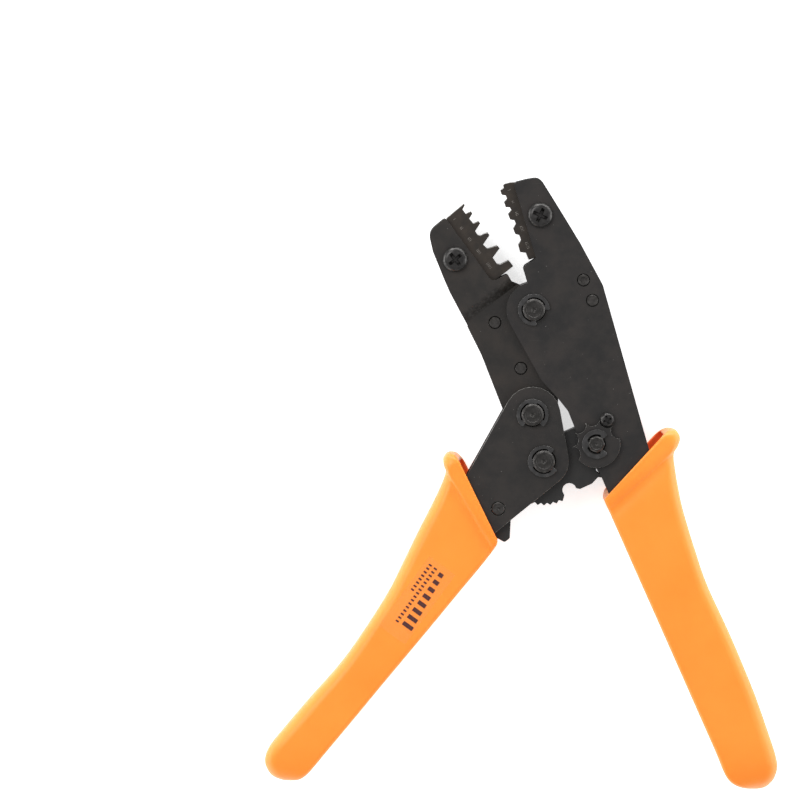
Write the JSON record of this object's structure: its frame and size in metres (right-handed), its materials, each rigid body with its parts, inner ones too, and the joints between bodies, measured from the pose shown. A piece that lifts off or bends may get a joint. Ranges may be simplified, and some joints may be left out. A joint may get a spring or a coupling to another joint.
{
  "type": "crimping tool",
  "caption": "Hand-held ratchet crimping tool with two interleaving dies, a toggle linkage, an eccentric adjuster and two orange sleeved handles.",
  "frame": {"origin": "on the surface the tool lies on, under the centre of its bounding box", "axes": "+Y from the handles towards the jaws, +Z out of the front face, +X to the right when the front face is seen with the jaws up"},
  "size_m": [0.1498, 0.178, 0.0201],
  "materials": {
    "black_oxide_steel": "black oxide, satin, worn bright at the edges",
    "die_steel": "brown-black oxide, ground edges",
    "pin_steel": "dark oxide, turned",
    "clip_steel": "black spring steel",
    "spring_steel": "bright drawn wire",
    "orange_grip": "satin dipped PVC"
  },
  "bodies": {
    "frame": {"frame_plate_front": "black_oxide_steel", "frame_plate_back": "black_oxide_steel", "frame_spacer_block": "black_oxide_steel", "frame_tang_core": "black_oxide_steel", "frame_rivet_upper": "pin_steel", "frame_rivet_lower": "pin_steel", "fixed_die": "die_steel", "fixed_die_screw": "pin_steel", "main_pivot_pin": "pin_steel", "main_pivot_clip": "clip_steel", "adjuster_pin": "pin_steel", "adjuster_wheel": "black_oxide_steel", "adjuster_clip": "clip_steel", "adjuster_lock_screw": "pin_steel", "spring_anchor_pin": "pin_steel", "return_spring": "spring_steel", "frame_grip": "orange_grip"},
    "moving_jaw": {"jaw_plate_front": "black_oxide_steel", "jaw_plate_back": "black_oxide_steel", "jaw_core": "black_oxide_steel", "jaw_rivet_upper": "pin_steel", "jaw_rivet_lower": "pin_steel", "moving_die": "die_steel", "moving_die_screw": "pin_steel"},
    "moving_handle": {"handle_plate_front": "black_oxide_steel", "handle_plate_back": "black_oxide_steel", "handle_tang_core": "black_oxide_steel", "knuckle_pin": "pin_steel", "knuckle_clip": "clip_steel", "toggle_pin": "pin_steel", "toggle_clip": "clip_steel", "pawl_pin": "pin_steel", "pawl_spring_anchor": "pin_steel", "pawl_spring": "spring_steel", "handle_grip": "orange_grip"},
    "ratchet_link": {"link_plate_front": "black_oxide_steel", "link_plate_back": "black_oxide_steel", "ratchet_core": "die_steel", "link_spring_pin": "pin_steel"},
    "pawl": {"pawl": "die_steel", "pawl_spring_pin": "pin_steel"}
  },
  "joints": [
    {"name": "jaw_hinge", "type": "hinge", "parent": "frame", "child": "moving_jaw", "pos_m": [0.00351, 0.05089, 0.0089], "axis": [0, 0, 1], "range_deg": [-18.1, 0]},
    {"name": "handle_hinge", "type": "hinge", "parent": "moving_jaw", "child": "moving_handle", "pos_m": [0.00316, 0.02044, 0.0089], "axis": [0, 0, 1], "range_deg": [0, 73.5], "stiffness_Nm_per_rad": 0.15, "springref_deg": -20.05},
    {"name": "link_hinge", "type": "hinge", "parent": "frame", "child": "ratchet_link", "pos_m": [0.02153, 0.01235, 0.0089], "axis": [0, 0, 1], "range_deg": [-36.6, 0], "deforming": ["return_spring"]},
    {"name": "pawl_hinge", "type": "hinge", "parent": "moving_handle", "child": "pawl", "pos_m": [-0.00681, -0.00685, 0.0089], "axis": [0, 0, 1], "range_deg": [-15, 15], "stiffness_Nm_per_rad": 0.02, "deforming": ["pawl_spring"]}
  ],
  "couplings": [
    {"joint": "jaw_hinge", "follows": "handle_hinge", "ratio": -0.24503},
    {"joint": "link_hinge", "follows": "handle_hinge", "ratio": -0.49669}
  ]
}
